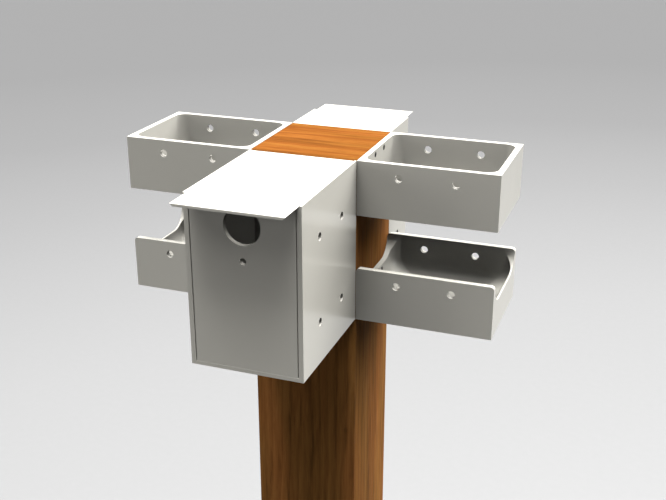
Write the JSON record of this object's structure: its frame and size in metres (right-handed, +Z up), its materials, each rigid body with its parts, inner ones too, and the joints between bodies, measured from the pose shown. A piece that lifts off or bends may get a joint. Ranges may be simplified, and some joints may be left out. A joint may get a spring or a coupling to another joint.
{
  "type": "bird feeder post",
  "caption": "Square wooden post whose head carries nest boxes front and rear and feeding trays on both sides, in two tiers.",
  "frame": {"origin": "centre of the post's foot", "axes": "+Z up along the post; -Y towards the deep nest box's entrance; +X towards the right-hand trays"},
  "size_m": [0.42, 0.404, 1.6],
  "materials": {
    "wood": "oiled, satin",
    "white_plastic": "smooth satin sheet",
    "black_steel": "black oxide"
  },
  "bodies": {
    "stand": {"post": "wood", "post_cap": "wood", "front_box_shell": "white_plastic", "rear_box_shell": "white_plastic", "right_upper_tray": "white_plastic", "right_lower_tray": "white_plastic", "left_upper_tray": "white_plastic", "left_lower_tray": "white_plastic", "front_box_screw_1": "black_steel", "front_box_screw_2": "black_steel", "front_box_screw_3": "black_steel", "front_box_screw_4": "black_steel", "rear_box_screw_1": "black_steel", "rear_box_screw_2": "black_steel", "rear_box_screw_3": "black_steel", "rear_box_screw_4": "black_steel", "right_upper_tray_screw_1": "black_steel", "right_upper_tray_screw_2": "black_steel", "right_upper_tray_screw_3": "black_steel", "right_upper_tray_screw_4": "black_steel", "right_lower_tray_screw_1": "black_steel", "right_lower_tray_screw_2": "black_steel", "left_upper_tray_screw_1": "black_steel", "left_upper_tray_screw_2": "black_steel", "left_upper_tray_screw_3": "black_steel", "left_upper_tray_screw_4": "black_steel", "left_lower_tray_screw_1": "black_steel", "left_lower_tray_screw_2": "black_steel"},
    "front_panel": {"front_box_panel": "white_plastic"},
    "front_lid": {"front_box_lid": "white_plastic"},
    "rear_panel": {"rear_box_panel": "white_plastic"},
    "rear_lid": {"rear_box_lid": "white_plastic"}
  },
  "joints": [
    {"name": "front_panel_slide", "type": "slide", "parent": "stand", "child": "front_panel", "axis": [0, 0, 1], "range_m": [0, 0.15]},
    {"name": "front_lid_lift", "type": "slide", "parent": "front_panel", "child": "front_lid", "axis": [0, 0, 1], "range_m": [0, 0.06]},
    {"name": "rear_panel_slide", "type": "slide", "parent": "stand", "child": "rear_panel", "axis": [0, 0, 1], "range_m": [0, 0.15]},
    {"name": "rear_lid_lift", "type": "slide", "parent": "rear_panel", "child": "rear_lid", "axis": [0, 0, 1], "range_m": [0, 0.06]}
  ]
}
